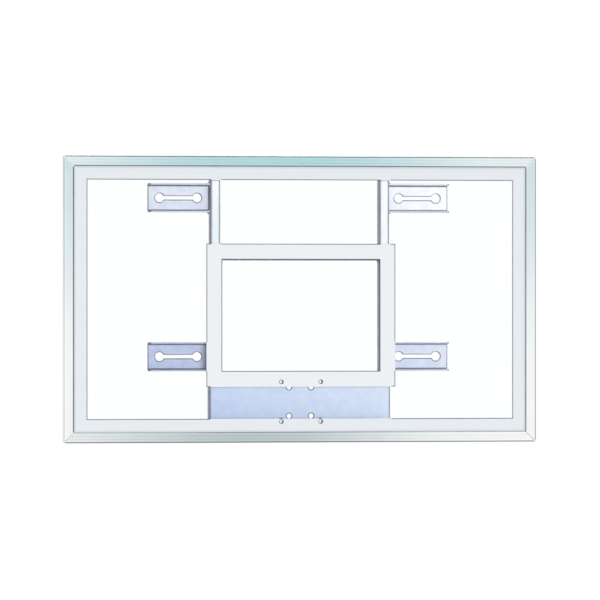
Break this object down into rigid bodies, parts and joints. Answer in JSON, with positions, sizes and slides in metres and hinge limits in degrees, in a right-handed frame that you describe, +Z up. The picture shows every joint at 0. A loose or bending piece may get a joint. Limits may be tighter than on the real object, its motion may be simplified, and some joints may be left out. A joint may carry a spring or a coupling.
{
  "type": "basketball backboard",
  "caption": "Rectangular glass basketball backboard with white border and target, aluminium edge frame, and a welded steel rear frame with slotted mast brackets and goal bolt holes.",
  "frame": {"origin": "middle of the four mast slots, on the rear face of the brackets", "axes": "+X to the right seen from the front, +Y out of the back towards the mast, +Z up; the playing face looks along -Y"},
  "size_m": [1.524, 0.0842, 0.9144],
  "materials": {
    "glass": "clear polished tempered glass",
    "enamel": "white fired enamel on the glass",
    "frame_aluminium": "satin clear anodised extrusion",
    "key_aluminium": "mill finish",
    "coated_steel": "pale blue-grey powder coat",
    "weld": "powder coat over rippled beads",
    "zinc_steel": "bright zinc plate",
    "gasket": "black extruded rubber",
    "grommet": "grey moulded nylon"
  },
  "bodies": {
    "root": {"glass_panel": "glass", "border_marking": "enamel", "target_marking": "enamel", "glass_grommets": "grommet", "goal_spacers": "zinc_steel", "frame_screws": "zinc_steel", "frame_bolts": "zinc_steel", "frame_washers": "zinc_steel", "frame_nuts": "zinc_steel", "bracket_welds": "weld", "frame_welds": "weld", "pan_welds": "weld", "goal_plate": "coated_steel", "pan_top_flange": "coated_steel", "pan_bottom_flange": "coated_steel", "pan_left_end": "coated_steel", "pan_right_end": "coated_steel", "crossbar": "coated_steel", "left_upright": "coated_steel", "right_upright": "coated_steel", "left_top_tab": "coated_steel", "right_top_tab": "coated_steel", "bracket_upper_left": "coated_steel", "bracket_upper_right": "coated_steel", "bracket_lower_left": "coated_steel", "bracket_lower_right": "coated_steel", "frame_left_rail": "frame_aluminium", "frame_right_rail": "frame_aluminium", "frame_bottom_rail": "frame_aluminium", "frame_top_left_rail": "frame_aluminium", "frame_top_right_rail": "frame_aluminium", "gasket_left": "gasket", "gasket_right": "gasket", "gasket_top": "gasket", "gasket_bottom": "gasket", "corner_key_top_left": "key_aluminium", "corner_key_top_right": "key_aluminium", "corner_key_bottom_left": "key_aluminium", "corner_key_bottom_right": "key_aluminium", "top_splice_plate": "key_aluminium"}
  },
  "joints": []
}
